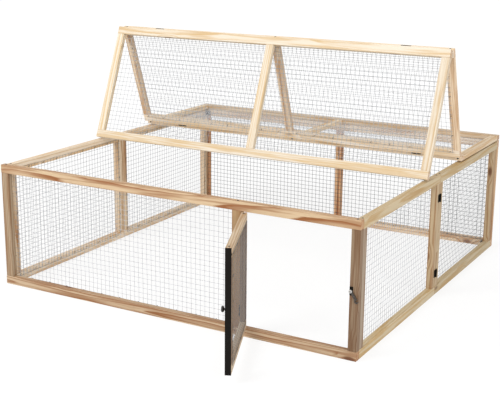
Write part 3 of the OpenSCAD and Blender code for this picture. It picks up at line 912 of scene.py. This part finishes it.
class RUN_OT_wall_timber(bpy.types.Operator):
    """Make the rails and stiles of the four walls"""

    bl_idname = "run.wall_timber"
    bl_label = "Wall timber"

    def execute(self, context):
        for name, z in (("front_top_rail", RAIL_LOW), ("front_bottom_rail", 0)):
            boards(name, "front_wall", [((-HALF, FRONT, z), (HALF, FRONT_INNER, z + MEMBER))])
        for name, x, wide in (
            ("front_left_stile", -HALF, MEMBER),
            ("front_door_post", POST_LEFT, POST_WIDE),
            ("front_right_stile", HALF - MEMBER, MEMBER),
        ):
            ends = (x, STILE_FRONT, MEMBER), (x + wide, FRONT_INNER, RAIL_LOW)
            boards(name, "front_wall", [ends])
        boards("rear_rails", "rear_wall", [
            ((-HALF, REAR_INNER, z), (HALF, REAR, z + MEMBER)) for z in (0, RAIL_LOW)
        ])
        boards("rear_stiles", "rear_wall", [
            ((x, REAR_INNER, MEMBER), (x + MEMBER, REAR - SETBACK, RAIL_LOW)) for x in STILES
        ])
        for name, where in SIDE_FRAMES.items():
            rails, stiles = side_parts(*where)
            boards(name + "_rails", name + "_side", rails)
            boards(name + "_stiles", name + "_side", stiles)
        return {"FINISHED"}


class RUN_OT_lid_timber(bpy.types.Operator):
    """Make the rails and stiles of the three lid frames"""

    bl_idname = "run.lid_timber"
    bl_label = "Lid timber"

    def execute(self, context):
        for name, (start, stop, place) in LID_FRAMES.items():
            rails, stiles = lid_parts(start, stop)
            boards(name + "_rails", name, rails, place)
            boards(name + "_stiles", name, stiles, place)
        return {"FINISHED"}


class RUN_OT_door_timber(bpy.types.Operator):
    """Make the rails and stiles of the door"""

    bl_idname = "run.door_timber"
    bl_label = "Door timber"

    def execute(self, context):
        boards("door_rails", "door", [
            ((DOOR_LEFT, STILE_FRONT, z), (DOOR_RIGHT, DOOR_BACK, z + MEMBER))
            for z in (DOOR_LOW, DOOR_HIGH - MEMBER)
        ], DOOR)
        boards("door_stiles", "door", [
            ((x, STILE_FRONT + LID_SETBACK, DOOR_LOW + MEMBER),
             (x + MEMBER, DOOR_BACK, DOOR_HIGH - MEMBER))
            for x in (DOOR_LEFT, DOOR_RIGHT - MEMBER)
        ], DOOR)
        return {"FINISHED"}


class RUN_OT_netting(bpy.types.Operator):
    """Make the welded wire of every frame"""

    bl_idname = "run.netting"
    bl_label = "Netting"

    def execute(self, context):
        look = context.scene.run_netting
        for seed, (name, (body, place, wide, high)) in enumerate(net_places().items()):
            mesh = grown(
                wire_net(), Width=wide, Height=high, Mesh=look.pitch,
                Wire=look.wire * THICKER.get(name, 1.0), Waviness=look.wave, Seed=3.7 * seed,
                Material=zinc_wire(WIRE_PAINTED_LIGHT[name]),
            )
            mesh.transform(place)
            mesh.shade_smooth()
            piece(name + "_wires", mesh, None, body, (name,))
        return {"FINISHED"}


class RUN_OT_staples(bpy.types.Operator):
    """Staple each net to its frame"""

    bl_idname = "run.staples"
    bl_label = "Staples"

    def execute(self, context):
        look = context.scene.run_netting
        model = pattern("staple_model", staple)
        for seed, (name, (body, place, wide, high)) in enumerate(net_places().items()):
            mesh = grown(
                staple_row(), Pattern=model, Width=wide, Height=high,
                Inset=NARROW_INSET if name in ("front_net", "rear_net") else STAPLE_INSET,
                Spacing=look.staple_gap, Lift=1.5 * look.wire, Seed=seed, Material=dull_steel(),
            )
            mesh.transform(place)
            piece(name.replace("_net", "_staples"), mesh, None, body)
        bpy.data.objects.remove(model)
        return {"FINISHED"}


class RUN_OT_screws(bpy.types.Operator):
    """Set the cross-head screws that hold the frames together"""

    bl_idname = "run.screws"
    bl_label = "Frame screws"

    def execute(self, context):
        middles = [x + MEMBER / 2 for x in STILES]
        post = POST_LEFT + POST_WIDE / 2
        rows = {
            "front_wall": [((x, 0, HEIGHT), UP) for x in (middles[0], post, middles[2])],
            "rear_wall": [((x, REAR - BOARD / 2, HEIGHT), UP) for x in middles],
        }
        for name, (side, start, stop) in SIDE_FRAMES.items():
            rows[name + "_side"] = [
                ((side * (HALF - BOARD / 2), y, SIDE_TOP), UP)
                for y in (start + MEMBER / 2, stop - MEMBER / 2)
            ]
        for name, (start, stop, place) in LID_FRAMES.items():
            rows[name] = [
                placed(place, (x, y, LID_UNDER + LID_BOARD / 2), (0, way, 0))
                for x in middles for y, way in ((start, -1), (stop, 1))
            ]
        rows["door"] = [
            placed(DOOR, (x, STILE_FRONT + DOOR_BOARD / 2, z), (0, 0, way))
            for x in (DOOR_LEFT + MEMBER / 2, DOOR_RIGHT - MEMBER / 2)
            for z, way in ((DOOR_LOW, -1), (DOOR_HIGH, 1))
        ]
        solids = {
            "front_wall": ("front_screws",), "lid_middle": ("lid_middle_screws",),
            "lid_front": ("lid_front_screws",),
        }
        size = context.scene.run_fittings.head
        for seed, (body, row) in enumerate(rows.items()):
            heads(body + "_screw_heads", body, row, size, seed, dull_steel(),
                  solids.get(body, ()))
        return {"FINISHED"}


class RUN_OT_hinges(bpy.types.Operator):
    """Lacquer the hinges and screw their leaves down"""

    bl_idname = "run.hinges"
    bl_label = "Hinges"

    def execute(self, context):
        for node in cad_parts:
            if "_hinges_on_" in node:
                repaint(node, black_metal())
        rows = defaultdict(list)
        for side, word in ((-1, "left"), (1, "right")):
            x, fold_x = side * (HALF - BOARD - PIVOT), side * (HALF + PIVOT)
            inwards, outwards = (-side, 0, 0), (side, 0, 0)
            for end, wall in ((1, "rear"), (-1, "front")):
                y = (REAR_INNER if end > 0 else FRONT_INNER) - end * PIVOT
                body = f"{word}_{wall}_side"
                for z in (CORNER_HINGE, SIDE_TOP - CORNER_HINGE):
                    for own, along, out in (
                        (wall + "_wall", inwards, (0, -end, 0)), (body, (0, -end, 0), inwards)
                    ):
                        rows[own] += leaf_screws((x, y, z), along, out, PIVOT, CORNER_APART)
                for z in (FOLD_HINGE_LOW, SIDE_TOP - FOLD_HINGE_DROP):
                    pin = (fold_x, MIDDLE, z)
                    rows[body] += leaf_screws(
                        pin, (0, end, 0), outwards, PIVOT + SETBACK, FOLD_APART
                    )
        for x in (-LID_HINGE, LID_HINGE):
            pin = (x, REAR + PIVOT, HEIGHT + LID_GAP / 2)
            for body, way in (("rear_wall", -1), ("lid_rear", 1)):
                rows[body] += leaf_screws(pin, (0, 0, way), (0, 1, 0), PIVOT, LID_APART)
        size = context.scene.run_fittings.leaf_head
        for seed, (body, row) in enumerate(rows.items(), 40):
            heads(body + "_leaf_screws", body, row, size, seed, black_metal())
        return {"FINISHED"}


class RUN_OT_door_fittings(bpy.types.Operator):
    """Make the dark strip on the door's free edge and its knob"""

    bl_idname = "run.door_fittings"
    bl_label = "Door strip and knob"

    def execute(self, context):
        lacquered_bar(
            "door_strip_lacquered", (DOOR_RIGHT, STILE_FRONT, DOOR_LOW),
            (DOOR_RIGHT + STRIP, DOOR_BACK, DOOR_HIGH), DOOR, "door", ("door_edge_strip",),
        )
        turning(
            "door_knob_turned",
            [(0.0035, 0.0), (0.0035, 0.0062), (0.0048, 0.0069), (0.0078, 0.0072),
             (0.0092, 0.0085), (0.0099, 0.0105), (0.0100, 0.0125), (0.0092, 0.0146),
             (0.0070, 0.0157), (0.0040, 0.0160)],
            DOOR @ Matrix.Translation((KNOB_X, STILE_FRONT + LID_SETBACK, CATCH)) @ FORWARD,
            black_plastic(), "door", ("door_knob",), 40,
        )
        at = (DOOR_RIGHT - STRIP_SCREW_INSET, DOOR_BACK, DOOR_HIGH - STRIP_SCREW_DROP)
        heads("door_strip_screw", "door", [placed(DOOR, at, (0, 1, 0))],
              context.scene.run_fittings.head, 91, black_metal())
        return {"FINISHED"}


class RUN_OT_latch(bpy.types.Operator):
    """Make the plate and pivot of the hook on the right stile, and finish the hook"""

    bl_idname = "run.latch"
    bl_label = "Latch"

    def execute(self, context):
        front = STILE_FRONT - PLATE
        lacquered_bar(
            "latch_plate_lacquered",
            (HOOK_X - PLATE_WIDE / 2, front, CATCH - PLATE_HIGH / 2),
            (HOOK_X + PLATE_WIDE / 2, STILE_FRONT, CATCH + PLATE_HIGH / 2),
            SHUT, "front_wall", ("latch_plate",),
        )
        turning(
            "latch_pivot",
            [(0.0025, 0.0), (0.0025, 0.0033), (0.0056, 0.0034), (0.0060, 0.0042),
             (0.0060, 0.0064), (0.0052, 0.0076), (0.0034, 0.0083)],
            Matrix.Translation((HOOK_X, front, CATCH)) @ FORWARD,
            bright_zinc(), "front_wall", ("latch_plate",), 24,
        )
        row = [((HOOK_X, front, CATCH + rise), (0, -1, 0)) for rise in (-PLATE_APART, PLATE_APART)]
        heads("latch_plate_screws", "front_wall", row, context.scene.run_fittings.leaf_head, 77,
              black_metal())
        # Painted shadow: the hook is made dark to stand for the shadow that it casts on the stile.
        repaint("latch_hook", dull_steel())
        return {"FINISHED"}


class RUN_OT_stage(bpy.types.Operator):
    """Set the floor, the lamps, the surroundings and the camera"""

    bl_idname = "run.stage"
    bl_label = "Stage"

    def execute(self, context):
        look = context.scene.run_stage
        self.floor()
        self.lamp("key_lamp", (-2.3, -3.8, 4.0), (0.0, 0.6, 0.35), 3.2, look.key)
        self.lamp("fill_lamp", (3.8, -1.5, 2.2), (0.0, 0.7, 0.3), 3.0, look.fill)
        self.surroundings(look.sky)
        self.camera()
        return {"FINISHED"}

    def seen(self, nodes):
        """1 where the camera, or a mirror or glass, looks; 0 where light falls."""
        rays = nodes.node("ShaderNodeLightPath").outputs
        seen = nodes.maths("MAXIMUM", rays["Is Camera Ray"], rays["Is Glossy Ray"])
        return nodes.maths("MAXIMUM", seen, rays["Is Transmission Ray"])

    def floor(self):
        """A white floor that takes light as a surface, but to the camera glows so evenly that
        it goes over into the surroundings; only faint shadows stay on it."""
        far = 60.0
        mesh = bpy.data.meshes.new("floor")
        mesh.from_pydata(
            [(-far, -far, 0), (far, -far, 0), (far, far, 0), (-far, far, 0)], [], [(0, 1, 2, 3)]
        )
        made = bpy.data.objects.new("floor", mesh)
        bpy.context.scene.collection.objects.link(made)
        n = Finish("white_floor")
        n.done((0.80, 0.80, 0.80), 0.9)
        n.shader.inputs["Specular IOR Level"].default_value = 0.0
        away = n.node("ShaderNodeVectorMath", n.place(), operation="LENGTH").outputs["Value"]
        rise = n.node(
            "ShaderNodeMapRange", Value=away, From_Min=1.2, From_Max=5.0, To_Min=0.775,
            To_Max=0.88,
        )
        glow = n.node("ShaderNodeEmission", Strength=rise)
        faint = n.node("ShaderNodeBsdfDiffuse", Color=(0.25, 0.25, 0.25))
        lit = n.node("ShaderNodeAddShader", glow, faint)
        choice = n.node("ShaderNodeMixShader", self.seen(n), n.shader, lit)
        n.put(choice, n.tree.nodes["Material Output"].inputs["Surface"])
        mesh.materials.append(n.material)

    def lamp(self, name, at, to, size, power):
        """A square lamp that points from one place to another."""
        data = bpy.data.lights.new(name, "AREA")
        data.shape, data.size, data.energy = "SQUARE", size, power
        made = bpy.data.objects.new(name, data)
        made.location = at
        made.rotation_euler = (Vector(to) - Vector(at)).to_track_quat("-Z", "Y").to_euler()
        bpy.context.scene.collection.objects.link(made)

    def surroundings(self, strength):
        """White to the camera, and as bright as the even light should be to the rest."""
        world = bpy.data.worlds.new("studio")
        world.use_nodes = True
        n = Nodes(world.node_tree)
        back = n.tree.nodes["Background"].inputs
        level = n.node("ShaderNodeMapRange", Value=self.seen(n), To_Min=strength, To_Max=1.0)
        n.put((1.0, 1.0, 1.0), back["Color"])
        n.put(level, back["Strength"])
        bpy.context.scene.world = world

    def camera(self):
        """The camera of the photograph, fitted to the run's corners: its place, how far it is
        turned to the left, down and about its own axis, and its focal length in pixels."""
        place = (1.99435, -2.93218, 1.38482)
        left, down, roll = (math.radians(angle) for angle in (29.422, 14.915, 0.524))
        focal_pixels, picture_pixels, sensor = 1042.648, 500, 36.0
        data = bpy.data.cameras.new("camera")
        data.sensor_width, data.lens = sensor, sensor * focal_pixels / picture_pixels
        data.sensor_fit = "HORIZONTAL"
        made = bpy.data.objects.new("camera", data)
        made.matrix_world = (
            Matrix.Translation(place) @ Matrix.Rotation(left, 4, "Z")
            @ Matrix.Rotation(math.radians(90) - down, 4, "X") @ Matrix.Rotation(roll, 4, "Z")
        )
        bpy.context.scene.collection.objects.link(made)
        bpy.context.scene.camera = made
        bpy.context.scene.view_settings.view_transform = "Standard"


class RUN_PT_panel(bpy.types.Panel):
    """Lists the run's pieces and settings"""

    bl_idname = "RUN_PT_panel"
    bl_label = "Rabbit Run"
    bl_space_type = "VIEW_3D"
    bl_region_type = "UI"
    bl_category = "Rabbit Run"

    def draw(self, context):
        for operator in OPERATORS:
            self.layout.operator(operator.bl_idname)
        for title, group in SETTINGS.items():
            box = self.layout.box()
            box.label(text=group.__doc__)
            for name in group.__annotations__:
                box.prop(getattr(context.scene, title), name)


OPERATORS = (
    RUN_OT_stage, RUN_OT_wall_timber, RUN_OT_lid_timber, RUN_OT_door_timber, RUN_OT_netting,
    RUN_OT_staples, RUN_OT_screws, RUN_OT_hinges, RUN_OT_door_fittings, RUN_OT_latch,
)
SETTINGS = {
    "run_timber": TimberSettings, "run_netting": NettingSettings,
    "run_fittings": FittingSettings, "run_stage": StageSettings,
}
CLASSES = (*SETTINGS.values(), *OPERATORS, RUN_PT_panel)


def register():
    for group in CLASSES:
        bpy.utils.register_class(group)
    for title, group in SETTINGS.items():
        setattr(bpy.types.Scene, title, bpy.props.PointerProperty(type=group))


def unregister():
    for title in SETTINGS:
        delattr(bpy.types.Scene, title)
    for group in reversed(CLASSES):
        bpy.utils.unregister_class(group)


def main():
    register()
    for operator in OPERATORS:
        getattr(bpy.ops.run, operator.bl_idname.split(".")[1])()


if __name__ == "__main__":
    main()
